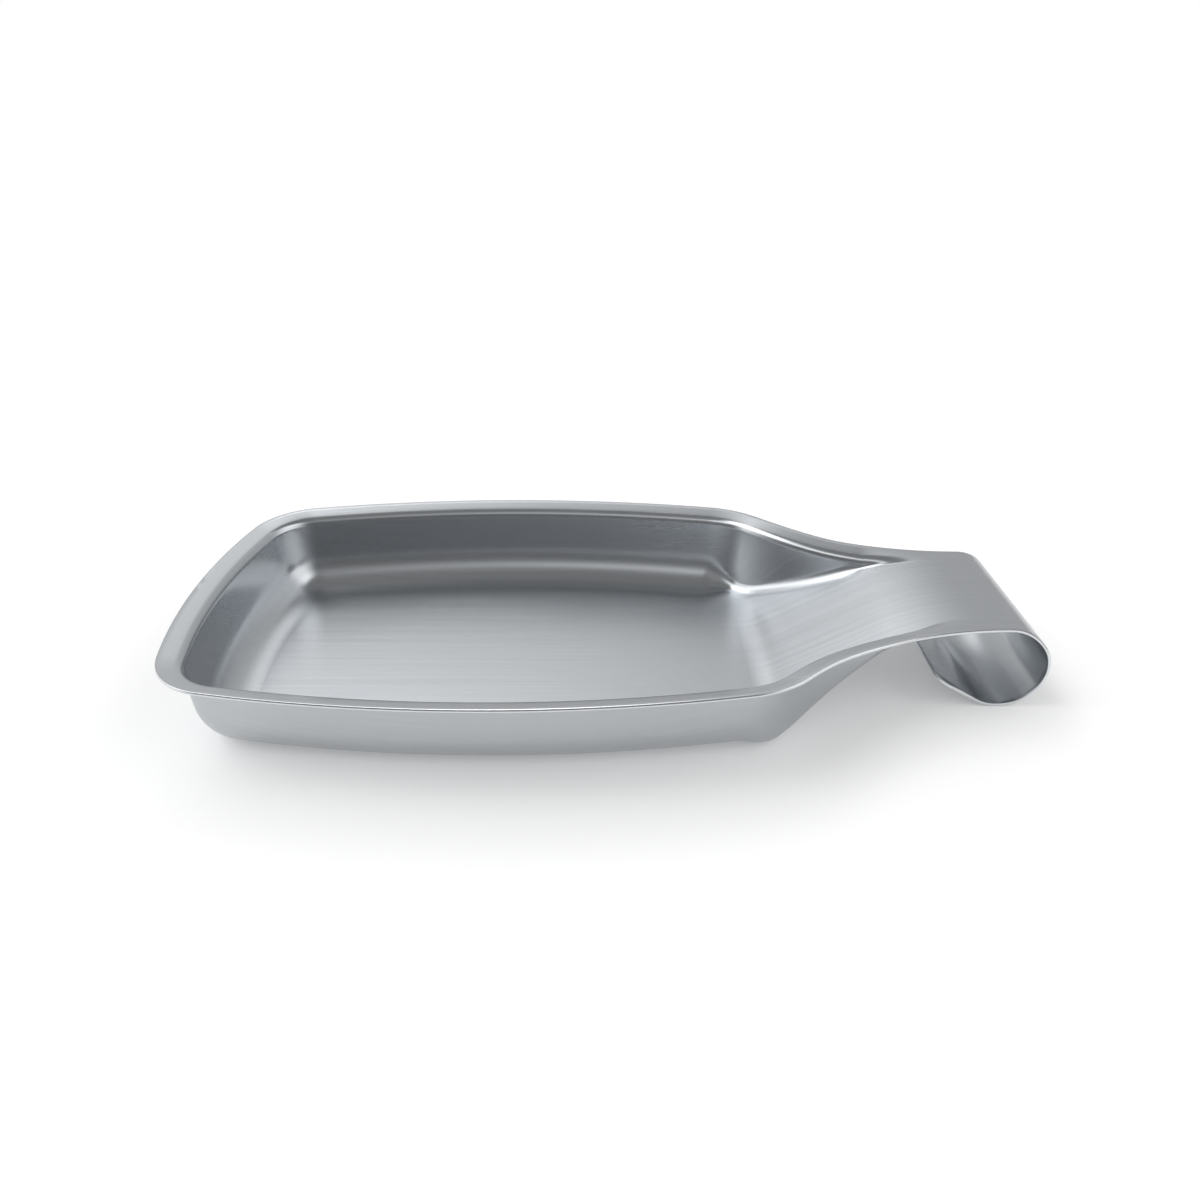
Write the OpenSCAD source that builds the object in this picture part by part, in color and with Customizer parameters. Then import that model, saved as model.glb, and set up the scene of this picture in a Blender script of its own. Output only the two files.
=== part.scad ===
// Spoon rest pressed from one sheet of steel.
// A shallow tray with a flared rim runs through a ramped neck into a flat handle,
// and the handle rolls down and under into an open curl that stands level with the tray.
// The sheet is split into zones along its own bend lines. The zones meet face to face.

/* [Overall] */
// Length over the tray end and the curl
length = 240; // [200:1:300]
// Width over the rim at its widest
width = 120; // [100:1:150]
// Height from the table to the rim
height = 25.5; // [20:0.5:34]

/* [Sheet] */
// Thickness of the steel sheet
sheet_t = 0.9; // [0.6:0.1:1.4]

/* [Tray outline] */
// Distance from the tray end to its widest place
widest_from_end = 89; // [70:1:110]
// Radius of the bowed long sides
side_r = 355; // [280:5:600]
// Radius of the bowed tray end
end_r = 175; // [120:5:300]
// Radius of the two corners of the flat floor
floor_corner_r = 2; // [1:0.5:10]

/* [Neck and handle] */
// Distance from the tray end to the centre of the shoulder curve
shoulder_from_end = 148.5; // [120:0.5:160]
// Radius of the rim at the shoulder, where the side turns in to the neck
shoulder_r = 30; // [26:1:40]
// Width of the handle where the curl begins
handle_w = 46; // [38:0.5:60]
// Drop of the handle's top below the rim
handle_drop = 1.2; // [0:0.1:4]
// Radius of the bend between the tray floor and the ramp
crease_r = 14; // [6:1:30]
// Radius of the bend between the ramp and the top of the handle
crest_r = 54; // [10:1:70]
// Level part of the handle, between that bend and the curl
handle_flat = 6.5; // [0:0.5:20]

/* [Rim and wall] */
// Width of the flared rim in plan, up to its bend
flange_w = 4.2; // [3:0.1:6]
// Angle by which the flared rim rises outwards
flange_angle = 17; // [5:1:25]
// Radius of the bend between the rim and the wall
rim_bend_r = 3; // [1.8:0.1:4]
// Angle of the wall to the floor
wall_angle = 86; // [70:1:88]
// Radius at the foot of the tray's walls
foot_r = 11.5; // [6:0.5:14]
// Radius at the foot of the neck's walls
neck_foot_r = 4; // [2:0.5:10]

/* [Curl] */
// Angle through which the handle is rolled
curl_sweep = 210; // [180:5:240]
// Width by which the curl flares out on each side, past the handle
curl_flare = 1.75; // [0.25:0.25:4]
// Length of the straight free end
tail_len = 14; // [6:0.5:18]
// Radius of the two corners of the free end
tail_corner_r = 4; // [1:0.5:8]

/* [Hidden] */
$fn = 96;

steel = [0.74, 0.75, 0.76];
steel_floor = [0.70, 0.71, 0.72];
steel_shade = [0.62, 0.63, 0.65];

// Steps along each curve of the outline, from the handle to the middle of the tray end
neck_steps = 14;
shoulder_steps = 8;
side_steps = 14;
corner_steps = 8;
end_steps = 4;
// Steps round the bend of the rim and round the foot of the wall
rim_bend_steps = 4;
foot_steps = 6;

// Straight wall between the bend and the foot, and radius at the foot, where the depth leaves no more
least_wall = 0.5;
least_foot_r = 1;
// Width of the flat margin that the rim and wall have become at the top of the handle
margin_w = 7.5;
// How far before the foremost line of the roll its flare ends, in sheet thicknesses
flare_short = 1.5;
// Rounds of the search for the depth under a point of the rim
depth_rounds = 6;

// Curl: level with the handle above and with the tray floor below
handle_top = height - handle_drop;
handle_half = handle_w / 2;
curl_r = handle_top / 2;
curl_x = length / 2 - curl_r;
curl_half = handle_half + curl_flare;
// The flare is an arc in plan, from the start of the roll
flare_len = curl_r - flare_short * sheet_t;
flare_r = (pow(flare_len, 2) + pow(curl_flare, 2)) / (2 * curl_flare);
end_x = -length / 2;
tray_depth = height - sheet_t;

// Profile across the rim, from its edge to the end of its bend: [inset, drop] of the upper face
flange_drop = flange_w * tan(flange_angle);
bend = [for (i = [0:rim_bend_steps])
    let (a = flange_angle + (wall_angle - flange_angle) * i / rim_bend_steps)
    [flange_w + rim_bend_r * (sin(a) - sin(flange_angle)),
        flange_drop + rim_bend_r * (cos(flange_angle) - cos(a))]];
rim_profile = concat([[0, 0]], bend);
bend_ring = len(rim_profile) - 1;
// The cut edge leans with the flared rim, so its upper corner lies inside the outline
edge_lean = sheet_t * sin(flange_angle);

// Profile of the foot of the wall, for a foot radius of one
foot_start = rim_profile[bend_ring] + [least_wall / tan(wall_angle), least_wall];
unit_foot = [for (i = [0:foot_steps])
    let (a = wall_angle * (1 - i / foot_steps))
    [sin(wall_angle) - sin(a), cos(a) - cos(wall_angle)]];
foot_ring = bend_ring + len(unit_foot);

// Length of sheet from the rim's edge to a ring
function arc_len(r, a) = r * a * PI / 180;
flange_len = flange_w / cos(flange_angle);
bend_len = flange_len + arc_len(rim_bend_r, wall_angle - flange_angle);
wall_len = bend_len + least_wall / sin(wall_angle);
function sheet_len(j, r) =
    j == 0 ? 0 :
    j <= bend_ring ? flange_len + (bend_len - flange_len) * (j - 1) / rim_bend_steps :
    wall_len + arc_len(r, wall_angle) * (j - bend_ring - 1) / foot_steps;

// Where the neck grows shallow its foot tightens first, and then the profile blends into a flat margin
function least_depth(r) = foot_start.y + r * unit_foot[foot_steps].y;
function fitting_r(depth, r) = min(max((depth - foot_start.y) / unit_foot[foot_steps].y, least_foot_r), r);
function more_wall(depth, r) = max(depth - least_depth(r), 0);
function full_ring(j, r) = j > bend_ring ? foot_start + r * unit_foot[j - bend_ring - 1] : rim_profile[j];
function ring(j, depth, wanted_r) =
    let (r = fitting_r(depth, wanted_r),
        full = min(depth / least_depth(r), 1),
        p = full_ring(j, r),
        flat = margin_w * sheet_len(j, r) / sheet_len(foot_ring, r),
        wall = j > bend_ring ? more_wall(depth, r) : 0)
    [full * (edge_lean + p.x) + (1 - full) * flat + wall / tan(wall_angle), full * p.y + wall];
function foot_inset(depth, r) = ring(foot_ring, depth, r).x;

// The corners of the rim are rounder than those of the floor by the rim and wall
corner_r = floor_corner_r + foot_inset(tray_depth, foot_r);

// Centres of the outline's curves, on the back half
side_c = [end_x + widest_from_end, width / 2 - side_r];
end_c = [end_x + end_r, 0];
corner_c = circles_meet(end_c, end_r - corner_r, side_c, side_r - corner_r);
shoulder_x = end_x + shoulder_from_end;
shoulder_reach = side_r - shoulder_r;
shoulder_c = [shoulder_x, side_c.y + sqrt(pow(shoulder_reach, 2) - pow(shoulder_x - side_c.x, 2))];
// The hollow curve of the neck touches the shoulder and ends along the handle at the curl
neck_dx = curl_x - shoulder_c.x;
neck_dy = handle_half - shoulder_c.y;
neck_r = (pow(neck_dx, 2) + pow(neck_dy, 2) - pow(shoulder_r, 2)) / (2 * (shoulder_r - neck_dy));
neck_c = [curl_x, handle_half + neck_r];

// Point at the given distances from two centres, on the right of the line from a to b
function circles_meet(a, ra, b, rb) =
    let (d = norm(b - a),
        along = (d * d + ra * ra - rb * rb) / (2 * d),
        across = sqrt(ra * ra - along * along),
        e = (b - a) / d)
    a + along * e + across * [e.y, -e.x];

function bearing(from, to) = atan2(to.y - from.y, to.x - from.x);

function ease(t) = t * t * (3 - 2 * t);

// Stations along one curve: [point of the rim, inward normal, foot radius]
// inward is -1 where the curve's centre lies inside the tray; feet are the first and last foot radius
function curve(c, r, from, to, steps, inward, feet, first = 1) =
    [for (i = [first:steps])
        let (a = from + (to - from) * i / steps, e = [cos(a), sin(a)])
        [c + r * e, inward * e, feet[0] + (feet[1] - feet[0]) * ease(i / steps)]];

neck_turn = bearing(neck_c, shoulder_c);
neck_from = 270;
neck_to = neck_turn < 0 ? neck_turn + 360 : neck_turn;
shoulder_from = bearing(shoulder_c, neck_c);
side_from = bearing(side_c, shoulder_c);
side_to = bearing(side_c, corner_c);
corner_to = bearing(end_c, corner_c);
neck_feet = [neck_foot_r, neck_foot_r];
shoulder_feet = [neck_foot_r, foot_r];
tray_feet = [foot_r, foot_r];

back_half = concat(
    curve(neck_c, neck_r, neck_from, neck_to, neck_steps, 1, neck_feet, 0),
    curve(shoulder_c, shoulder_r, shoulder_from, side_from, shoulder_steps, -1, shoulder_feet),
    curve(side_c, side_r, side_from, side_to, side_steps, -1, tray_feet),
    curve(corner_c, corner_r, side_to, corner_to, corner_steps, -1, tray_feet),
    curve(end_c, end_r, corner_to, 180, end_steps, -1, tray_feet));

half_steps = len(back_half) - 1;
function flipped(s) = [[s[0].x, -s[0].y], [s[1].x, -s[1].y], s[2]];
stations = concat(back_half, [for (i = [half_steps - 1:-1:0]) flipped(back_half[i])]);

// Station numbers where the zones part
neck_end = neck_steps;
side_end = neck_end + shoulder_steps + side_steps;
last = len(stations) - 1;

// The ramp starts at the foot of the wall where the shoulder meets the neck
shoulder_end = stations[neck_end];
ramp_from = shoulder_end[0].x + shoulder_end[1].x * foot_inset(tray_depth, neck_foot_r);
ramp_climb = handle_top - sheet_t;
crest_to = curl_x - handle_flat;
ramp_run = crest_to - ramp_from;
ramp_fall = ramp_climb - crease_r - crest_r;
ramp_angle = atan2(ramp_fall, ramp_run) + asin((crease_r + crest_r) / norm([ramp_run, ramp_fall]));
crease_to = ramp_from + crease_r * sin(ramp_angle);
crest_from = crest_to - crest_r * sin(ramp_angle);
crease_rise = crease_r * (1 - cos(ramp_angle));

// Slope of the sheet along the middle of the object, and the height of its upper face
function slope(x) =
    x <= ramp_from ? 0 :
    x < crease_to ? asin((x - ramp_from) / crease_r) :
    x < crest_from ? ramp_angle :
    asin(max(crest_to - x, 0) / crest_r);
function floor_z(x) =
    x <= ramp_from ? sheet_t :
    x < crease_to ? sheet_t + crease_r * (1 - cos(slope(x))) :
    x < crest_from ? sheet_t + crease_rise + (x - crease_to) * tan(ramp_angle) :
    handle_top - crest_r * (1 - cos(slope(x)));

// Height of the rim: level round the tray, easing down beside the ramp, and level with the handle
rim_fall = crest_from - shoulder_end[0].x;
function rim_z(x) =
    height - handle_drop * ease(min(max((x - shoulder_end[0].x) / rim_fall, 0), 1));

// Depth of the foot below the rim at a station, found by stepping in from the rim
function depth_at(s, depth, rounds) =
    rounds == 0 ? depth :
    depth_at(s, rim_z(s[0].x) - floor_z(s[0].x + s[1].x * foot_inset(depth, s[2])), rounds - 1);

// Upper face of the rim and wall, as rows of points from the rim inwards
upper = [for (s = stations)
    let (depth = depth_at(s, rim_z(s[0].x) - floor_z(s[0].x), depth_rounds))
    [for (j = [0:foot_ring])
        let (p = ring(j, depth, s[2]))
        [s[0].x + s[1].x * p.x, s[0].y + s[1].y * p.x, rim_z(s[0].x) - p.y]]];

// Direction out of the upper face, and the lower face one thickness behind it
function ramp_normal(x) = [-sin(slope(x)), 0, cos(slope(x))];
function face_normal(k, j) =
    k == 0 || k == last ? [0, 0, 1] :
    j == foot_ring ? ramp_normal(upper[k][j].x) :
    let (n = cross(upper[k + 1][j] - upper[k - 1][j], upper[k][j + 1] - upper[k][max(j - 1, 0)]))
    n / norm(n);
lower = [for (k = [0:last]) [for (j = [0:foot_ring]) upper[k][j] - sheet_t * face_normal(k, j)]];

// Two triangles of a four-cornered face
function halves(a, b, c, d) = [[a, b, c], [a, c, d]];

// Sheet between two rows of stations and two rings
module sheet_zone(k0, k1, j0, j1) {
    cols = j1 - j0 + 1;
    rows = k1 - k0 + 1;
    under = rows * cols;
    points = concat(
        [for (k = [k0:k1]) each [for (j = [j0:j1]) upper[k][j]]],
        [for (k = [k0:k1]) each [for (j = [j0:j1]) lower[k][j]]]);
    faces_up = [for (k = [0:rows - 2]) each [for (j = [0:cols - 2])
        let (a = k * cols + j)
        each halves(a, a + 1, a + cols + 1, a + cols)]];
    faces_down = [for (f = faces_up) [f[2] + under, f[1] + under, f[0] + under]];
    border = concat(
        [for (j = [0:cols - 1]) j],
        [for (k = [1:rows - 1]) k * cols + cols - 1],
        [for (j = [cols - 2:-1:0]) (rows - 1) * cols + j],
        [for (k = [rows - 2:-1:1]) k * cols]);
    // Each side face is halved the same way in both zones that share it
    faces_side = [for (i = [0:len(border) - 1])
        let (a = border[i], b = border[(i + 1) % len(border)])
        each a < b ? halves(b, a, a + under, b + under) : halves(a, a + under, b + under, b)];
    polyhedron(points, concat(faces_up, faces_down, faces_side));
}

// Sheet ruled straight across the neck, from the foot of one wall to the foot of the other
module ruled_zone(k1) {
    rows = k1 + 1;
    points = concat(
        [for (k = [0:k1]) each [upper[k][foot_ring], upper[last - k][foot_ring]]],
        [for (k = [0:k1]) each [lower[k][foot_ring], lower[last - k][foot_ring]]]);
    under = 2 * rows;
    faces = [for (k = [0:rows - 2])
        let (a = 2 * k, b = a + 1, c = a + 3, d = a + 2)
        each concat(halves(a, b, c, d),
            halves(d + under, c + under, b + under, a + under),
            halves(d, d + under, a + under, a),
            halves(b, b + under, c + under, c))];
    start = halves(1, 0, under, under + 1);
    e = 2 * k1;
    end = halves(e, e + 1, under + e + 1, under + e);
    polyhedron(points, concat(faces, start, end));
}

module tray_floor() {
    color(steel_floor) linear_extrude(sheet_t)
        polygon([for (k = [neck_end:last - neck_end]) [upper[k][foot_ring].x, upper[k][foot_ring].y]]);
}

module end_wall() {
    color(steel_shade) sheet_zone(side_end, last - side_end, bend_ring, foot_ring);
}

module back_wall() {
    color(steel_shade) sheet_zone(neck_end, side_end, bend_ring, foot_ring);
}

module front_wall() {
    color(steel_shade) sheet_zone(last - side_end, last - neck_end, bend_ring, foot_ring);
}

module back_neck() {
    color(steel_shade) sheet_zone(0, neck_end, bend_ring, foot_ring);
}

module front_neck() {
    color(steel_shade) sheet_zone(last - neck_end, last, bend_ring, foot_ring);
}

module end_rim() {
    color(steel) sheet_zone(side_end, last - side_end, 0, bend_ring);
}

module back_rim() {
    color(steel) sheet_zone(0, side_end, 0, bend_ring);
}

module front_rim() {
    color(steel) sheet_zone(last - side_end, last, 0, bend_ring);
}

module handle_ramp() {
    color(steel_floor) ruled_zone(neck_end);
}

// The roll turns about a line across the handle, from its top over the end and under
module handle_curl() {
    color(steel) difference() {
        translate([curl_x, curl_half, curl_r])
            rotate([90, 0, 0])
                rotate([0, 0, 90 - curl_sweep])
                    rotate_extrude(angle = curl_sweep)
                        translate([curl_r - sheet_t, 0])
                            square([sheet_t, 2 * curl_half]);
        for (side = [-1, 1])
            translate([curl_x, side * (handle_half + flare_r), curl_r])
                cylinder(r = flare_r, h = handle_top);
    }
}

// Flat outline of the free end, along +X from the roll, with its far corners rounded
module tail_outline() {
    straight = tail_len - tail_corner_r;
    inner_half = curl_half - tail_corner_r;
    translate([0, -curl_half]) square([straight, 2 * curl_half]);
    translate([0, -inner_half]) square([tail_len, 2 * inner_half]);
    for (side = [-1, 1])
        translate([straight, side * inner_half]) circle(tail_corner_r);
}

module curl_tail() {
    color(steel) translate([curl_x, 0, curl_r])
        rotate([0, curl_sweep, 0])
            translate([0, 0, curl_r - sheet_t])
                linear_extrude(sheet_t) tail_outline();
}

tray_floor();
end_wall();
back_wall();
front_wall();
back_neck();
front_neck();
end_rim();
back_rim();
front_rim();
handle_ramp();
handle_curl();
curl_tail();
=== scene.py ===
"""Spoon rest pressed from one sheet of satin steel, and a pale stage to show it on."""

import math
from collections import namedtuple

import bpy
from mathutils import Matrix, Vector


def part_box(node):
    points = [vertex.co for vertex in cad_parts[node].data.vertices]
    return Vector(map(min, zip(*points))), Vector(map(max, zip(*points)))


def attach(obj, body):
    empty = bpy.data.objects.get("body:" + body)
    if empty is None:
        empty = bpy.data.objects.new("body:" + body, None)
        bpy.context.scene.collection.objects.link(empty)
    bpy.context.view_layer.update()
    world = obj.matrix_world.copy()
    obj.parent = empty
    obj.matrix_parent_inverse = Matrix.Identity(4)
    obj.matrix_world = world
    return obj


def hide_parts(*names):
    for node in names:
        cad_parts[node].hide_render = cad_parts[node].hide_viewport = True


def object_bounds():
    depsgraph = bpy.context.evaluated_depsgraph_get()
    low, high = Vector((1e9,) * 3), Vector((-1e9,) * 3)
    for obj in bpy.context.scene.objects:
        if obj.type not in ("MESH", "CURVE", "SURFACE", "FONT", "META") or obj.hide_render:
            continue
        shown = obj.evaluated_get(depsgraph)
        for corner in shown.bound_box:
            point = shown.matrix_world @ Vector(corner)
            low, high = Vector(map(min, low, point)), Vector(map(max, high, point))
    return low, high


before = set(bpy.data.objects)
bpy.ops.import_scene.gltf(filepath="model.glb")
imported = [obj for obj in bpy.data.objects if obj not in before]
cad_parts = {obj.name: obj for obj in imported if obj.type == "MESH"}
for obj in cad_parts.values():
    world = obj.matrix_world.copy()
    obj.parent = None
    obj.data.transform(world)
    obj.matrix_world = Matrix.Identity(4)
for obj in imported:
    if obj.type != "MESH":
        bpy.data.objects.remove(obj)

bl_info = {
    "name": "Spoon Rest",
    "version": (1, 0, 0),
    "blender": (4, 5, 0),
    "location": "View3D > Sidebar > Spoon Rest",
    "description": "Presses, rolls and finishes a steel spoon rest, and sets its stage",
    "category": "Object",
}

CAD_LOW, CAD_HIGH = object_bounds()
CURL_LOW, CURL_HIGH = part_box("handle_curl")
FLOOR_LOW, FLOOR_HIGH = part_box("tray_floor")

QUARTER_TURN = math.pi / 2
HALF = 0.5
WHITE = (1, 1, 1, 1)

# Side of the flat grid, before it is pressed
BLANK_SIDE = 1
# Steps along each curve of the outline, from the curl to the middle of the tray end
NECK_STEPS = 44
SHOULDER_STEPS = 24
SIDE_STEPS = 44
CORNER_STEPS = 26
END_STEPS = 14
# Steps across the sheet, from the cut edge to the middle of the floor
FLANGE_STEPS = 3
RIM_BEND_STEPS = 10
WALL_STEPS = 4
FOOT_STEPS = 16
# Places across half the floor, as shares of the way from the foot of the wall to the middle
FLOOR_SHARES = (0.03, 0.09, 0.2, 0.36, 0.56, 0.78, 1.0)
# Steps round the roll of the handle
CURL_STEPS = 72

# Least straight wall and foot radius, and the flat margin that the rim and wall become on the handle
LEAST_WALL = 0.0005
LEAST_FOOT = 0.001
MARGIN_WIDTH = 0.0075
# Rounds in which the depth of a wall settles, as its foot moves along the ramp
DEPTH_ROUNDS = 8
# How far before the foremost line of the curl its flare ends, in sheet thicknesses
FLARE_SHORT = 1.5

# Least turn of an edge that is softened, in degrees, and the steps round its softening
SOFT_EDGE_ANGLE = 60
SOFT_EDGE_STEPS = 3

MERGE_DISTANCE = 1e-6
BLANK_MAP = "blank"
BURNISHED = "burnished"

# Streaks to the metre, along and across the blank
FINE_GRAIN = (30, 4500)
BROAD_GRAIN = (8, 900)
# Clouds in the gloss and marks on the cut edge, to the metre
CLOUD_SCALE = 18
EDGE_MARK_SCALE = 1500
# Finer layers in each noise
STREAK_DETAIL = 3
CLOUD_DETAIL = 4
# Usual range of a noise
NOISE_LOW = 0.3
NOISE_HIGH = 0.7
# How far the foot of the wall is burnished, beside the bend of the rim
FOOT_BURNISH = 0.4
# A quarter turn, as a share of a whole one
ACROSS_THE_GRAIN = 0.25

# Soft boxes round the stage: directions and sizes in degrees, with azimuth 0 behind the object and
# 90 on its right, and the brightness of each
SoftBox = namedtuple("SoftBox", "azimuth elevation width height brightness")
KEY = SoftBox(azimuth=-90, elevation=37, width=30, height=65, brightness=1.85)
KEY_BAND = SoftBox(azimuth=-75, elevation=50, width=180, height=12, brightness=1.6)
KEY_BACK = SoftBox(azimuth=-45, elevation=50, width=60, height=12, brightness=1.6)
KEY_TOP = SoftBox(azimuth=-75, elevation=62, width=60, height=14, brightness=2.45)
FILL = SoftBox(azimuth=105, elevation=30, width=60, height=52, brightness=1.45)
BACK = SoftBox(azimuth=-45, elevation=18, width=120, height=55, brightness=0.75)
BACK_RIGHT = SoftBox(azimuth=45, elevation=24, width=60, height=41, brightness=0.6)
FRONT = SoftBox(azimuth=-165, elevation=23, width=120, height=66, brightness=0.18)
# The tent goes all the way round, with its blurred edges to spare
TENT = SoftBox(azimuth=0, elevation=68, width=390, height=63, brightness=0.27)
SOFT_BOXES = (KEY, KEY_BAND, KEY_BACK, KEY_TOP, FILL, BACK, BACK_RIGHT, FRONT, TENT)
# Blur of the soft boxes' edges, in degrees round the stage and up
BOX_EDGE_ROUND = 30
BOX_EDGE_UP = 8

# Floor and camera, in metres, with the sensor in millimetres
FLOOR_SIZE = 8
FLOOR_ROUGHNESS = 0.9
SENSOR_WIDTH = 36
CLIP_START = 0.01


def length_prop(name, description, default):
    """A length in metres."""
    return bpy.props.FloatProperty(name=name, description=description, default=default, min=0.0,
                                   unit="LENGTH", precision=4)


def angle_prop(name, description, degrees):
    """An angle, given in degrees and held in radians."""
    return bpy.props.FloatProperty(name=name, description=description, default=math.radians(degrees),
                                   subtype="ANGLE")


def share_prop(name, description, default):
    """A share from none to all."""
    return bpy.props.FloatProperty(name=name, description=description, default=default, min=0.0, max=1.0,
                                   subtype="FACTOR")


def colour_prop(name, description, default):
    """A colour in linear light."""
    return bpy.props.FloatVectorProperty(name=name, description=description, default=default, size=3,
                                         min=0.0, max=1.0, subtype="COLOR")


class SpoonRestSheet(bpy.types.PropertyGroup):
    """Sizes of the pressed sheet."""

    length: length_prop("Length", "Over the tray end and the curl", CAD_HIGH.x - CAD_LOW.x)
    width: length_prop("Width", "Over the rim at its widest", CAD_HIGH.y - CAD_LOW.y)
    height: length_prop("Height", "From the table to the rim", CAD_HIGH.z - CAD_LOW.z)
    thickness: length_prop("Sheet", "Thickness of the steel", FLOOR_HIGH.z - FLOOR_LOW.z)
    widest_from_end: length_prop("Widest place", "From the tray end", 0.089)
    side_radius: length_prop("Side radius", "Bow of the long sides", 0.355)
    end_radius: length_prop("End radius", "Bow of the tray end", 0.175)
    floor_corner_radius: length_prop("Floor corner", "Corners of the flat floor", 0.002)
    shoulder_from_end: length_prop("Shoulder", "Centre of the shoulder, from the tray end", 0.1485)
    shoulder_radius: length_prop("Shoulder radius", "Where the side turns in to the neck", 0.030)
    handle_width: length_prop("Handle width", "Where the curl begins", 0.046)
    curl_width: length_prop("Curl width", "Of the curl and its free end", CURL_HIGH.y - CURL_LOW.y)
    handle_top: length_prop("Handle height", "Top of the handle over the table", CURL_HIGH.z)
    crease_radius: length_prop("Crease radius", "Between the tray floor and the ramp", 0.014)
    crest_radius: length_prop("Crest radius", "Between the ramp and the handle's top", 0.054)
    handle_flat: length_prop("Handle flat", "Level part of the handle, before the curl", 0.0065)
    flange_width: length_prop("Rim width", "Flared rim in plan, up to its bend", 0.0042)
    flange_angle: angle_prop("Rim rise", "Angle at which the rim rises outwards", 17)
    rim_bend_radius: length_prop("Rim bend", "Between the rim and the wall", 0.003)
    wall_angle: angle_prop("Wall angle", "Of the wall to the floor", 86)
    foot_radius: length_prop("Tray foot radius", "At the foot of the tray's walls", 0.0115)
    neck_foot_radius: length_prop("Neck foot radius", "At the foot of the neck's walls", 0.004)
    curl_sweep: angle_prop("Curl sweep", "Angle through which the handle is rolled", 210)
    tail_length: length_prop("Free end", "Length of the straight free end", 0.014)
    tail_corner_radius: length_prop("Free end corners", "Radius of the free end's corners", 0.004)
    edge_radius: length_prop("Edge rounding", "Softening of the cut edges", 0.0002)


class SpoonRestFinish(bpy.types.PropertyGroup):
    """Finish of the steel."""

    steel: colour_prop("Steel", "Colour that the steel reflects", (0.50, 0.52, 0.54))
    roughness: share_prop("Roughness", "Of the satin faces", 0.25)
    roughness_spread: share_prop("Roughness spread", "How far the gloss varies", 0.03)
    grain: share_prop("Grain", "How far the grain lightens and darkens the steel", 0.04)
    grain_height: length_prop("Grain height", "Depth of the brushed lines", 0.000001)
    stretch: share_prop("Stretch", "How far the grain stretches reflections across it", 0.75)
    burnish: share_prop("Burnish", "How much smoother the press left the bends", 0.04)
    cut_edge: colour_prop("Cut edge", "Colour of the polished cut edge", (0.70, 0.72, 0.74))
    edge_roughness: share_prop("Edge roughness", "Of the polished cut edge", 0.22)


class SpoonRestStage(bpy.types.PropertyGroup):
    """Floor, light and camera."""

    floor: colour_prop("Floor", "Colour of the pale floor", (0.86, 0.86, 0.86))
    floor_glow: share_prop("Floor glow", "Light that comes up through the floor", 0.21)
    light: bpy.props.FloatProperty(
        name="Light", description="Brightness of all the soft boxes together", default=1.0, min=0.0)
    backdrop: colour_prop("Backdrop", "Colour of the light, and behind the floor", (1.0, 1.0, 1.0))
    camera_place: bpy.props.FloatVectorProperty(
        name="Camera", description="Place of the camera", default=(-0.0031, -0.2259, 0.1521), size=3,
        subtype="TRANSLATION", unit="LENGTH")
    camera_pitch: angle_prop("Camera pitch", "Angle by which the camera looks down", 30.3)
    lens: bpy.props.FloatProperty(
        name="Lens", description="Focal length for a 36 mm sensor", default=26.8, unit="CAMERA")


def held(t):
    """Held between 0 and 1."""
    return min(max(t, 0), 1)


def ease(t):
    """Smooth step from 0 to 1."""
    return t * t * (3 - 2 * t)


def arch(t):
    """From 0 up to 1 halfway, and down to 0 again."""
    return math.sin(math.pi * t)


def arc_drop(radius, along):
    """How far an arc falls away from its tangent, so far along."""
    return radius - math.sqrt(radius ** 2 - along ** 2)


def unit(angle):
    """Direction at an angle in the plan."""
    return Vector((math.cos(angle), math.sin(angle)))


def bearing(start, end):
    """Angle of the line from one point to another."""
    return math.atan2(end.y - start.y, end.x - start.x)


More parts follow.
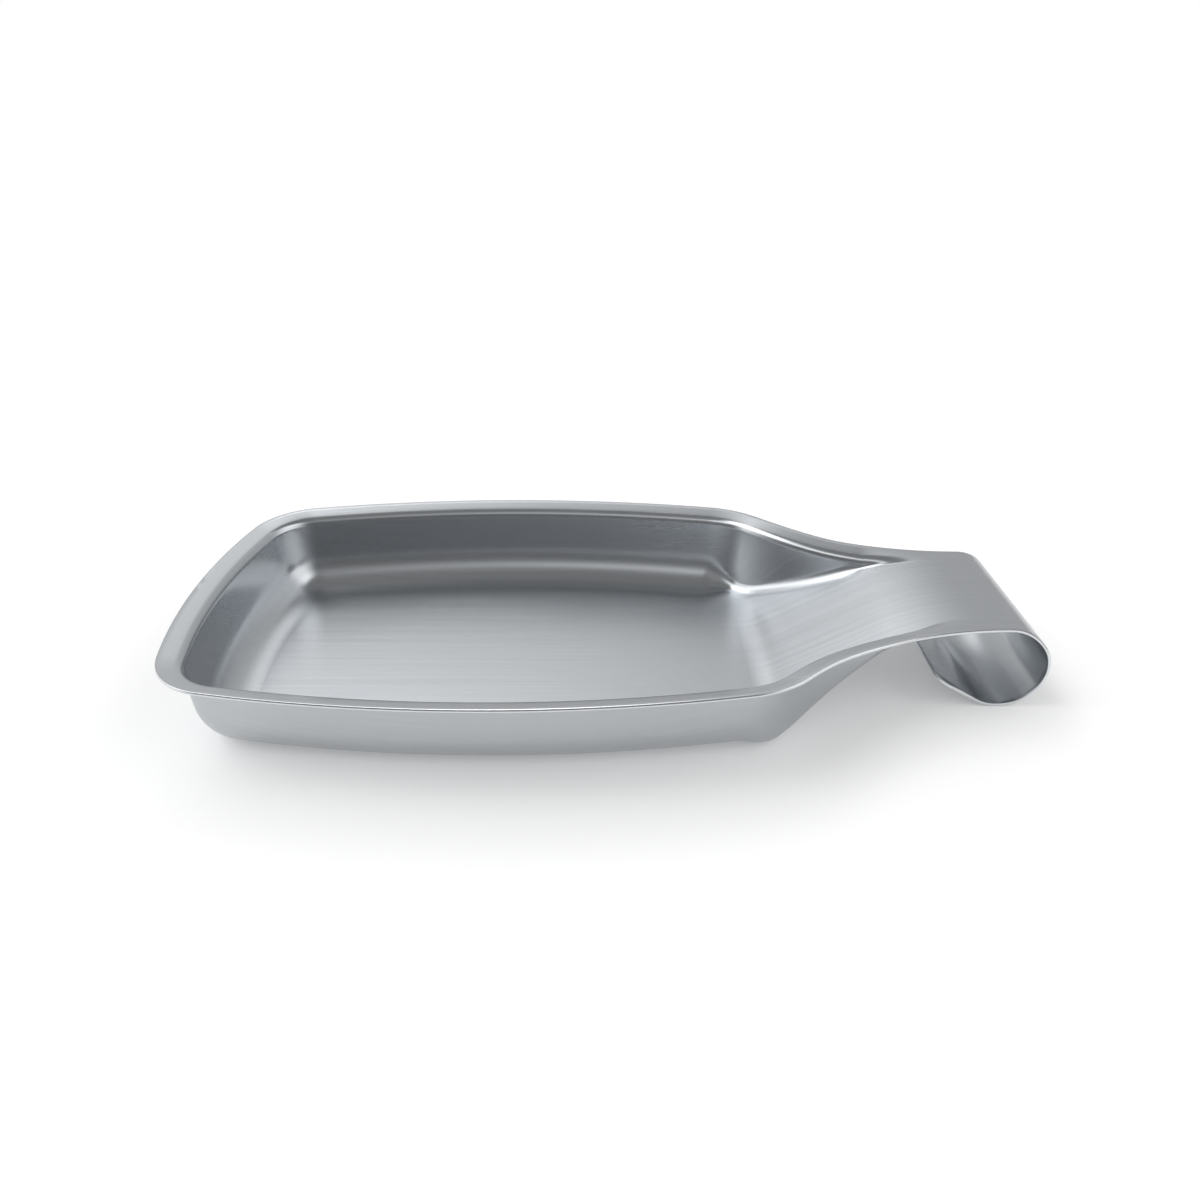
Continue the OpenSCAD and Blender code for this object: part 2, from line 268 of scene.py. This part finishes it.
class PressedForm:
    """The upper face of the pressed sheet, worked out from a few arcs."""

    def __init__(self, p):
        self.p = p
        self.curl_radius = p.handle_top / 2
        self.curl_x = p.length / 2 - self.curl_radius
        self.end_x = -p.length / 2
        self.tray_depth = p.height - p.thickness
        self.set_profile()
        self.set_outline()
        self.set_ramp()
        self.set_roll()

    def set_profile(self):
        """Profile across the rim and wall in points of [inset, drop], with a foot of radius one."""
        p = self.p
        drop = p.flange_width * math.tan(p.flange_angle)
        self.flange = [
            Vector((p.flange_width, drop)) * i / FLANGE_STEPS for i in range(FLANGE_STEPS)]
        self.bend = []
        for i in range(RIM_BEND_STEPS + 1):
            a = p.flange_angle + (p.wall_angle - p.flange_angle) * i / RIM_BEND_STEPS
            self.bend.append(Vector((
                p.flange_width + p.rim_bend_radius * (math.sin(a) - math.sin(p.flange_angle)),
                drop + p.rim_bend_radius * (math.cos(p.flange_angle) - math.cos(a)))))
        self.foot_start = self.bend[-1] + Vector((LEAST_WALL / math.tan(p.wall_angle), LEAST_WALL))
        self.unit_foot = []
        for i in range(FOOT_STEPS + 1):
            a = p.wall_angle * (1 - i / FOOT_STEPS)
            self.unit_foot.append(Vector((
                math.sin(p.wall_angle) - math.sin(a), math.cos(a) - math.cos(p.wall_angle))))
        # The cut edge is square to the rim, so its upper corner lies in from the outline
        self.edge_lean = p.thickness * math.sin(p.flange_angle)
        rim = [0.0] * len(self.flange) + [arch(i / RIM_BEND_STEPS) for i in range(RIM_BEND_STEPS + 1)]
        foot = [FOOT_BURNISH * arch(i / FOOT_STEPS) for i in range(FOOT_STEPS + 1)]
        self.burnish = rim + [0.0] * (WALL_STEPS - 1) + foot + [0.0] * len(FLOOR_SHARES)

    def least_depth(self, foot_radius):
        """Depth at which the wall has all its bends but no more than its least straight."""
        return self.foot_start.y + foot_radius * self.unit_foot[-1].y

    def profile(self, depth, foot_radius):
        """Points of [inset, drop] from the cut edge to the foot, for a wall of that depth.

        A wall too low for its bends flattens out, and at no depth it is a level margin.
        """
        room = (depth - self.foot_start.y) / self.unit_foot[-1].y
        foot_radius = min(max(room, LEAST_FOOT), foot_radius)
        least = self.least_depth(foot_radius)
        full = min(depth / least, 1)
        more = max(depth - least, 0)
        longer = Vector((more / math.tan(self.p.wall_angle), more))
        wall = [self.bend[-1].lerp(self.foot_start, i / WALL_STEPS) for i in range(1, WALL_STEPS)]
        foot = [self.foot_start + foot_radius * f for f in self.unit_foot]
        whole = self.flange + self.bend + wall + foot
        lengths = [0.0]
        for a, b in zip(whole, whole[1:]):
            lengths.append(lengths[-1] + (b - a).length)
        wall_start = len(self.flange) + len(self.bend) - 1
        points = []
        for i, q in enumerate(whole):
            flat = MARGIN_WIDTH * lengths[i] / lengths[-1]
            down_wall = held((i - wall_start) / WALL_STEPS)
            inset = full * (self.edge_lean + q.x) + (1 - full) * flat
            points.append(Vector((inset, full * q.y)) + longer * down_wall)
        return points

    def set_outline(self):
        """Stations along the rim of the back half: [point, inward direction, foot radius]."""
        p = self.p
        corner_r = p.floor_corner_radius + self.profile(self.tray_depth, p.foot_radius)[-1].x
        side_c = Vector((self.end_x + p.widest_from_end, p.width / 2 - p.side_radius))
        end_c = Vector((self.end_x + p.end_radius, 0))
        corner_c = self.circles_meet(end_c, p.end_radius - corner_r, side_c, p.side_radius - corner_r)
        shoulder_x = self.end_x + p.shoulder_from_end
        reach = p.side_radius - p.shoulder_radius
        rise = math.sqrt(reach ** 2 - (shoulder_x - side_c.x) ** 2)
        shoulder_c = Vector((shoulder_x, side_c.y + rise))
        dx = self.curl_x - shoulder_c.x
        dy = p.handle_width / 2 - shoulder_c.y
        neck_r = (dx * dx + dy * dy - p.shoulder_radius ** 2) / (2 * (p.shoulder_radius - dy))
        neck_c = Vector((self.curl_x, p.handle_width / 2 + neck_r))

        neck_from = 3 * QUARTER_TURN
        neck_to = bearing(neck_c, shoulder_c) % math.tau
        shoulder_from = bearing(shoulder_c, neck_c)
        side_from = bearing(side_c, shoulder_c)
        side_to = bearing(side_c, corner_c)
        corner_to = bearing(end_c, corner_c)
        neck_feet = (p.neck_foot_radius, p.neck_foot_radius)
        shoulder_feet = (p.neck_foot_radius, p.foot_radius)
        tray_feet = (p.foot_radius, p.foot_radius)
        first = neck_c + neck_r * unit(neck_from)
        self.stations = [(first, unit(neck_from), p.neck_foot_radius)]
        self.add_curve(neck_c, neck_r, neck_from, neck_to, NECK_STEPS, 1, neck_feet)
        self.shoulder_end = self.stations[-1]
        self.add_curve(shoulder_c, p.shoulder_radius, shoulder_from, side_from, SHOULDER_STEPS, -1,
                       shoulder_feet)
        self.add_curve(side_c, p.side_radius, side_from, side_to, SIDE_STEPS, -1, tray_feet)
        self.add_curve(corner_c, corner_r, side_to, corner_to, CORNER_STEPS, -1, tray_feet)
        self.add_curve(end_c, p.end_radius, corner_to, math.pi, END_STEPS, -1, tray_feet)

    @staticmethod
    def circles_meet(a, ra, b, rb):
        """Point at the given distances from two centres, on the right of the line from a to b."""
        d = (b - a).length
        along = (d * d + ra * ra - rb * rb) / (2 * d)
        across = math.sqrt(ra * ra - along * along)
        e = (b - a) / d
        return a + along * e + across * Vector((e.y, -e.x))

    def add_curve(self, centre, radius, start, end, steps, inward, feet):
        """Stations along one arc, after its first point.

        inward is 1 where the arc's centre lies outside the sheet, and -1 where it lies inside. The foot
        radius eases from the first of feet to the second.
        """
        for i in range(1, steps + 1):
            t = i / steps
            e = unit(start + (end - start) * t)
            foot = feet[0] + (feet[1] - feet[0]) * ease(t)
            self.stations.append((centre + radius * e, inward * e, foot))

    def set_ramp(self):
        """The ramp starts at the foot of the wall where the shoulder meets the neck."""
        p = self.p
        point, inward, foot = self.shoulder_end
        self.ramp_from = point.x + inward.x * self.profile(self.tray_depth, foot)[-1].x
        radii = p.crease_radius + p.crest_radius
        self.crest_to = self.curl_x - p.handle_flat
        run = self.crest_to - self.ramp_from
        fall = p.handle_top - p.thickness - radii
        self.ramp_angle = math.atan2(fall, run) + math.asin(radii / math.hypot(run, fall))
        self.crease_to = self.ramp_from + p.crease_radius * math.sin(self.ramp_angle)
        self.crest_from = self.crest_to - p.crest_radius * math.sin(self.ramp_angle)

    def set_roll(self):
        """The axle of the roll, the start and direction of its free end, and the arc of its flare."""
        p = self.p
        out = Vector((math.sin(p.curl_sweep), 0, math.cos(p.curl_sweep)))
        self.axle = Vector((self.curl_x, 0, self.curl_radius))
        self.tail_start = self.axle + out * self.curl_radius
        self.tail_run = Vector((out.z, 0, -out.x))
        flare = (p.curl_width - p.handle_width) / 2
        self.flare_length = self.curl_radius - FLARE_SHORT * p.thickness
        self.flare_radius = (self.flare_length ** 2 + flare ** 2) / (2 * flare)

    def floor_z(self, x):
        """Height of the upper face along the middle of the sheet."""
        p = self.p
        if x <= self.ramp_from:
            return p.thickness
        if x < self.crease_to:
            return p.thickness + arc_drop(p.crease_radius, x - self.ramp_from)
        if x < self.crest_from:
            rise = p.crease_radius * (1 - math.cos(self.ramp_angle))
            return p.thickness + rise + (x - self.crease_to) * math.tan(self.ramp_angle)
        return p.handle_top - arc_drop(p.crest_radius, max(self.crest_to - x, 0))

    def rim_z(self, x):
        """Height of the rim: level round the tray, and easing down beside the ramp to the handle's top."""
        start = self.shoulder_end[0].x
        share = held((x - start) / (self.crest_from - start))
        return self.p.height - (self.p.height - self.p.handle_top) * ease(share)

    def row(self, k):
        """The back half at one station: points of the upper face, their places in the flat blank, and
        how far the press burnished them.
        """
        point, inward, foot_radius = self.stations[k]
        rim = self.rim_z(point.x)
        depth = rim - self.floor_z(point.x)
        for _ in range(DEPTH_ROUNDS):
            inset = self.profile(depth, foot_radius)[-1].x
            depth = rim - self.floor_z(point.x + inward.x * inset)
        rings = self.profile(depth, foot_radius)
        points = []
        for q in rings:
            at = point + inward * q.x
            points.append(Vector((at.x, at.y, rim - q.y)))
        foot = points[-1]
        developed = [0.0]
        for a, b in zip(reversed(rings), reversed(rings[:-1])):
            developed.append(developed[-1] + (a - b).length)
        flat = [foot.xy - inward * d for d in reversed(developed)]
        for share in FLOOR_SHARES:
            points.append(Vector((foot.x, foot.y * (1 - share), foot.z)))
            flat.append(points[-1].xy)
        full = min(depth / self.least_depth(LEAST_FOOT), 1)
        return points, flat, [full * b for b in self.burnish]

    def rows(self):
        """All rows from the curl to the tray end, each from the back edge to the front edge."""
        pressed = []
        blank = []
        burnish = []
        for k in range(len(self.stations)):
            points, flat, burnished = self.row(k)
            front = [Vector((q.x, -q.y, q.z)) for q in reversed(points[:-1])]
            pressed.append(points + front)
            blank.append(flat + [Vector((q.x, -q.y)) for q in reversed(flat[:-1])])
            burnish.append(burnished + burnished[-2::-1])
        return pressed, blank, burnish


def deselect_all():
    """Leave edit mode with nothing selected."""
    if bpy.context.object and bpy.context.object.mode != "OBJECT":
        bpy.ops.object.mode_set(mode="OBJECT")
    bpy.ops.object.select_all(action="DESELECT")


def pick_vertices(obj, wanted):
    """Enter edit mode with just the wanted vertices selected."""
    bpy.ops.object.mode_set(mode="EDIT")
    bpy.ops.mesh.select_mode(type="VERT")
    bpy.ops.mesh.select_all(action="DESELECT")
    bpy.ops.object.mode_set(mode="OBJECT")
    for v in obj.data.vertices:
        v.select = wanted(v)
    bpy.ops.object.mode_set(mode="EDIT")


def apply_modifier(kind, **settings):
    """Add one modifier to the active object, set it and apply it."""
    bpy.ops.object.modifier_add(type=kind)
    modifier = bpy.context.object.modifiers[-1]
    for key, value in settings.items():
        setattr(modifier, key, value)
    bpy.ops.object.modifier_apply(modifier=modifier.name)


def press_blank(form):
    """A flat blank, pressed so that its points lie on the form's arcs, and closed at the tray end."""
    pressed, blank, burnish = form.rows()
    along = len(pressed) - 1
    across = len(pressed[0]) - 1
    bpy.ops.mesh.primitive_grid_add(
        x_subdivisions=along, y_subdivisions=across, size=BLANK_SIDE, location=(0, 0, 0))
    sheet = bpy.context.object
    burnished = sheet.data.attributes.new(BURNISHED, "FLOAT", "POINT")
    flat = {}
    for v in sheet.data.vertices:
        k = round((HALF - v.co.x / BLANK_SIDE) * along)
        j = round((HALF - v.co.y / BLANK_SIDE) * across)
        v.co = pressed[k][j]
        flat[v.index] = blank[k][j]
        burnished.data[v.index].value = burnish[k][j]
    uv = sheet.data.uv_layers[0]
    uv.name = BLANK_MAP
    for loop in sheet.data.loops:
        uv.data[loop.index].uv = flat[loop.vertex_index]
    bpy.ops.object.mode_set(mode="EDIT")
    bpy.ops.mesh.select_all(action="SELECT")
    bpy.ops.mesh.remove_doubles(threshold=MERGE_DISTANCE)
    bpy.ops.object.mode_set(mode="OBJECT")
    return sheet


def roll_handle(sheet, form):
    """Roll the end of the handle over and under, and draw out, flare and round its free end."""
    p = form.p
    pressed_count = len(sheet.data.vertices)
    pick_vertices(sheet, lambda v: v.co.x > form.curl_x - MERGE_DISTANCE)
    bpy.ops.mesh.spin(steps=CURL_STEPS, angle=p.curl_sweep, center=form.axle, axis=(0, -1, 0))
    bpy.ops.mesh.extrude_region_move(TRANSFORM_OT_translate={"value": form.tail_run * p.tail_length})
    bpy.ops.object.mode_set(mode="OBJECT")
    rolled = sheet.data.vertices[pressed_count:]
    flare_roll(rolled, form)
    round_corners([v for v in rolled if v.select], form)
    map_roll(sheet, form, pressed_count)


def flare_roll(vertices, form):
    """Widen the roll along the arc of its flare, and its free end with it."""
    half = form.p.handle_width / 2
    for v in vertices:
        past = form.flare_length
        if v.co.z >= form.axle.z:
            past = min(v.co.x - form.axle.x, past)
        v.co.y *= (half + arc_drop(form.flare_radius, past)) / half


def round_corners(vertices, form):
    """Round the corners of the roll's free edge."""
    half = form.p.curl_width / 2
    r = form.p.tail_corner_radius
    for v in vertices:
        to_side = half - abs(v.co.y)
        if to_side < r:
            turn = QUARTER_TURN * max(to_side, 0) / r
            v.co.y = math.copysign(half - r * (1 - math.cos(turn)), v.co.y)
            v.co -= form.tail_run * r * (1 - math.sin(turn))


def map_roll(sheet, form, pressed_count):
    """Lay the roll and its free end, whose edge is still selected, out flat past the pressed blank."""
    uv = sheet.data.uv_layers[BLANK_MAP]
    for loop in sheet.data.loops:
        if loop.vertex_index < pressed_count:
            continue
        v = sheet.data.vertices[loop.vertex_index]
        if v.select:
            along = (v.co - form.tail_start).dot(form.tail_run)
            unrolled = form.curl_radius * form.p.curl_sweep + along
        else:
            out = v.co - form.axle
            unrolled = form.curl_radius * (math.atan2(out.x, out.z) % math.tau)
        uv.data[loop.index].uv = (form.curl_x + unrolled, v.co.y)


class SPOONREST_OT_sheet(bpy.types.Operator):
    """Press the blank, roll its handle, give it its thickness and finish the steel"""

    bl_idname = "spoonrest.sheet"
    bl_label = "Press the Sheet"

    def execute(self, context):
        p = context.scene.spoon_rest_sheet
        form = PressedForm(p)
        deselect_all()
        sheet = press_blank(form)
        sheet.name = "pressed_sheet"
        roll_handle(sheet, form)
        finish = context.scene.spoon_rest_finish
        sheet.data.materials.clear()
        sheet.data.materials.append(satin_steel(finish))
        sheet.data.materials.append(polished_edge(finish))
        apply_modifier("SOLIDIFY", thickness=p.thickness, offset=-1.0, use_even_offset=True,
                       use_rim=True, material_offset_rim=1)
        apply_modifier("BEVEL", width=p.edge_radius, segments=SOFT_EDGE_STEPS, limit_method="ANGLE",
                       angle_limit=math.radians(SOFT_EDGE_ANGLE), use_clamp_overlap=False,
                       harden_normals=True)
        bpy.ops.object.shade_smooth()
        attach(sheet, "root")
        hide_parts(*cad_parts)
        return {"FINISHED"}


def new_material(name):
    """A new material, with its node tree and its plain shader."""
    material = bpy.data.materials.new(name)
    material.use_nodes = True
    tree = material.node_tree
    return material, tree, tree.nodes["Principled BSDF"]


def add_node(tree, kind, inputs, **settings):
    """Add one node with its settings. Its inputs are values, or sockets to link."""
    node = tree.nodes.new(kind)
    for key, value in settings.items():
        setattr(node, key, value)
    for key, value in inputs.items():
        if isinstance(value, bpy.types.NodeSocket):
            tree.links.new(value, node.inputs[key])
        else:
            node.inputs[key].default_value = value
    return node


def sum_up(tree, operation, *values, clamp=False):
    """One step of arithmetic on values or sockets."""
    node = add_node(tree, "ShaderNodeMath", dict(enumerate(values)), operation=operation, use_clamp=clamp)
    return node.outputs["Value"]


def streaks(tree, along, across):
    """Streaks along the blank, so many to the metre each way."""
    place = add_node(tree, "ShaderNodeUVMap", {}, uv_map=BLANK_MAP)
    drawn = add_node(tree, "ShaderNodeMapping", {
        "Vector": place.outputs["UV"], "Scale": (along, across, 1)})
    noise = add_node(tree, "ShaderNodeTexNoise", {
        "Vector": drawn.outputs["Vector"], "Scale": 1, "Detail": STREAK_DETAIL}, noise_dimensions="2D")
    return noise.outputs["Fac"]


def clouds(tree, scale):
    """Soft clouds, so many to the metre."""
    place = add_node(tree, "ShaderNodeTexCoord", {})
    noise = add_node(tree, "ShaderNodeTexNoise", {
        "Vector": place.outputs["Object"], "Scale": scale, "Detail": CLOUD_DETAIL})
    return noise.outputs["Fac"]


def halfway(tree, a, b):
    """The mean of two values."""
    mix = add_node(tree, "ShaderNodeMix", {"Factor": HALF, "A": a, "B": b}, data_type="FLOAT")
    return mix.outputs["Result"]


def spread(tree, value, low, high):
    """Spread the usual range of a noise over a range of values."""
    reach = add_node(tree, "ShaderNodeMapRange", {
        "Value": value, "From Min": NOISE_LOW, "From Max": NOISE_HIGH, "To Min": low, "To Max": high})
    return reach.outputs["Result"]


def shades(tree, value, colour, share):
    """A colour that a value darkens and lightens by a share of itself."""
    ramp = add_node(tree, "ShaderNodeValToRGB", {"Fac": spread(tree, value, 0, 1)})
    for stop, factor in zip(ramp.color_ramp.elements, (1 - share, 1 + share)):
        stop.color = (*(c * factor for c in colour), 1)
    return ramp.outputs["Color"]


def satin_steel(finish):
    """Satin steel: grain along the blank, soft clouds in its gloss, and bends burnished by the press."""
    material, tree, shader = new_material("satin_steel")
    grain = halfway(tree, streaks(tree, *FINE_GRAIN), streaks(tree, *BROAD_GRAIN))
    gloss = halfway(tree, grain, clouds(tree, CLOUD_SCALE))
    rough = spread(tree, gloss, finish.roughness - finish.roughness_spread,
                   finish.roughness + finish.roughness_spread)
    bends = add_node(tree, "ShaderNodeAttribute", {}, attribute_name=BURNISHED)
    smoother = sum_up(tree, "MULTIPLY_ADD", bends.outputs["Fac"], -finish.burnish, rough)
    bump = add_node(tree, "ShaderNodeBump", {
        "Height": grain, "Strength": 1, "Distance": finish.grain_height})
    lay = add_node(tree, "ShaderNodeTangent", {}, direction_type="UV_MAP", uv_map=BLANK_MAP)
    tree.links.new(shades(tree, grain, finish.steel, finish.grain), shader.inputs["Base Color"])
    tree.links.new(smoother, shader.inputs["Roughness"])
    tree.links.new(bump.outputs["Normal"], shader.inputs["Normal"])
    tree.links.new(lay.outputs["Tangent"], shader.inputs["Tangent"])
    shader.inputs["Metallic"].default_value = 1
    shader.inputs["Anisotropic"].default_value = finish.stretch
    shader.inputs["Anisotropic Rotation"].default_value = ACROSS_THE_GRAIN
    return material


def polished_edge(finish):
    """The brighter cut edge of the sheet, with fine marks left by its polishing."""
    material, tree, shader = new_material("polished_edge")
    marks = clouds(tree, EDGE_MARK_SCALE)
    tree.links.new(shades(tree, marks, finish.cut_edge, finish.grain), shader.inputs["Base Color"])
    tree.links.new(spread(tree, marks, finish.edge_roughness - finish.roughness_spread,
                          finish.edge_roughness + finish.roughness_spread), shader.inputs["Roughness"])
    shader.inputs["Metallic"].default_value = 1
    return material


def box_share(tree, seen, middle, size, blur):
    """Whether an angle lies within a soft box: 1 inside it and 0 outside, with a blurred edge."""
    off = sum_up(tree, "SUBTRACT", seen, math.radians(middle))
    apart = sum_up(tree, "ABSOLUTE", sum_up(tree, "WRAP", off, math.pi, -math.pi))
    edge = size / 2 / blur + HALF
    return sum_up(tree, "MULTIPLY_ADD", apart, -1 / math.radians(blur), edge, clamp=True)


def studio(stage):
    """A dark studio with soft boxes round the stage, and a plain backdrop that only the camera sees."""
    world = bpy.data.worlds.new("studio")
    world.use_nodes = True
    tree = world.node_tree
    place = add_node(tree, "ShaderNodeTexCoord", {})
    split = add_node(tree, "ShaderNodeSeparateXYZ", {"Vector": place.outputs["Generated"]})
    azimuth = sum_up(tree, "ARCTAN2", split.outputs["X"], split.outputs["Y"])
    elevation = sum_up(tree, "ARCSINE", split.outputs["Z"])
    light = 0.0
    for box in SOFT_BOXES:
        across = box_share(tree, azimuth, box.azimuth, box.width, BOX_EDGE_ROUND)
        up = box_share(tree, elevation, box.elevation, box.height, BOX_EDGE_UP)
        whole = sum_up(tree, "MULTIPLY", across, up)
        light = sum_up(tree, "MULTIPLY_ADD", whole, box.brightness * stage.light, light)
    path = add_node(tree, "ShaderNodeLightPath", {})
    sky = add_node(tree, "ShaderNodeMix", {
        "Factor": path.outputs["Is Camera Ray"], "A": light, "B": 1.0}, data_type="FLOAT")
    background = tree.nodes["Background"]
    background.inputs["Color"].default_value = (*stage.backdrop, 1)
    tree.links.new(sky.outputs["Result"], background.inputs["Strength"])
    return world


class SPOONREST_OT_stage(bpy.types.Operator):
    """Lay the pale floor, set the soft lights and place the camera"""

    bl_idname = "spoonrest.stage"
    bl_label = "Set the Stage"

    def execute(self, context):
        stage = context.scene.spoon_rest_stage
        deselect_all()
        bpy.ops.mesh.primitive_plane_add(size=FLOOR_SIZE, location=(0, 0, 0))
        floor = context.object
        floor.name = "floor"
        material, _, shader = new_material("pale_floor")
        shader.inputs["Base Color"].default_value = (*stage.floor, 1)
        shader.inputs["Roughness"].default_value = FLOOR_ROUGHNESS
        shader.inputs["Emission Color"].default_value = WHITE
        shader.inputs["Emission Strength"].default_value = stage.floor_glow
        floor.data.materials.append(material)
        context.scene.world = studio(stage)
        bpy.ops.object.camera_add(
            location=stage.camera_place, rotation=(QUARTER_TURN - stage.camera_pitch, 0, 0))
        camera = context.object
        camera.data.lens = stage.lens
        camera.data.sensor_width = SENSOR_WIDTH
        camera.data.clip_start = CLIP_START
        context.scene.camera = camera
        context.scene.view_settings.view_transform = "Standard"
        return {"FINISHED"}


class VIEW3D_PT_spoon_rest(bpy.types.Panel):
    """Sizes, finish and stage of the spoon rest"""

    bl_label = "Spoon Rest"
    bl_space_type = "VIEW_3D"
    bl_region_type = "UI"
    bl_category = "Spoon Rest"

    def draw(self, context):
        for group, operator in (
                ("spoon_rest_sheet", "spoonrest.sheet"),
                ("spoon_rest_finish", None),
                ("spoon_rest_stage", "spoonrest.stage")):
            box = self.layout.box()
            props = getattr(context.scene, group)
            for key in props.__annotations__:
                box.prop(props, key)
            if operator:
                box.operator(operator)


CLASSES = (
    SpoonRestSheet,
    SpoonRestFinish,
    SpoonRestStage,
    SPOONREST_OT_sheet,
    SPOONREST_OT_stage,
    VIEW3D_PT_spoon_rest,
)


def register():
    for cls in CLASSES:
        bpy.utils.register_class(cls)
    bpy.types.Scene.spoon_rest_sheet = bpy.props.PointerProperty(type=SpoonRestSheet)
    bpy.types.Scene.spoon_rest_finish = bpy.props.PointerProperty(type=SpoonRestFinish)
    bpy.types.Scene.spoon_rest_stage = bpy.props.PointerProperty(type=SpoonRestStage)


def unregister():
    del bpy.types.Scene.spoon_rest_stage
    del bpy.types.Scene.spoon_rest_finish
    del bpy.types.Scene.spoon_rest_sheet
    for cls in reversed(CLASSES):
        bpy.utils.unregister_class(cls)


def main():
    register()
    bpy.ops.spoonrest.sheet()
    bpy.ops.spoonrest.stage()


if __name__ == "__main__":
    main()
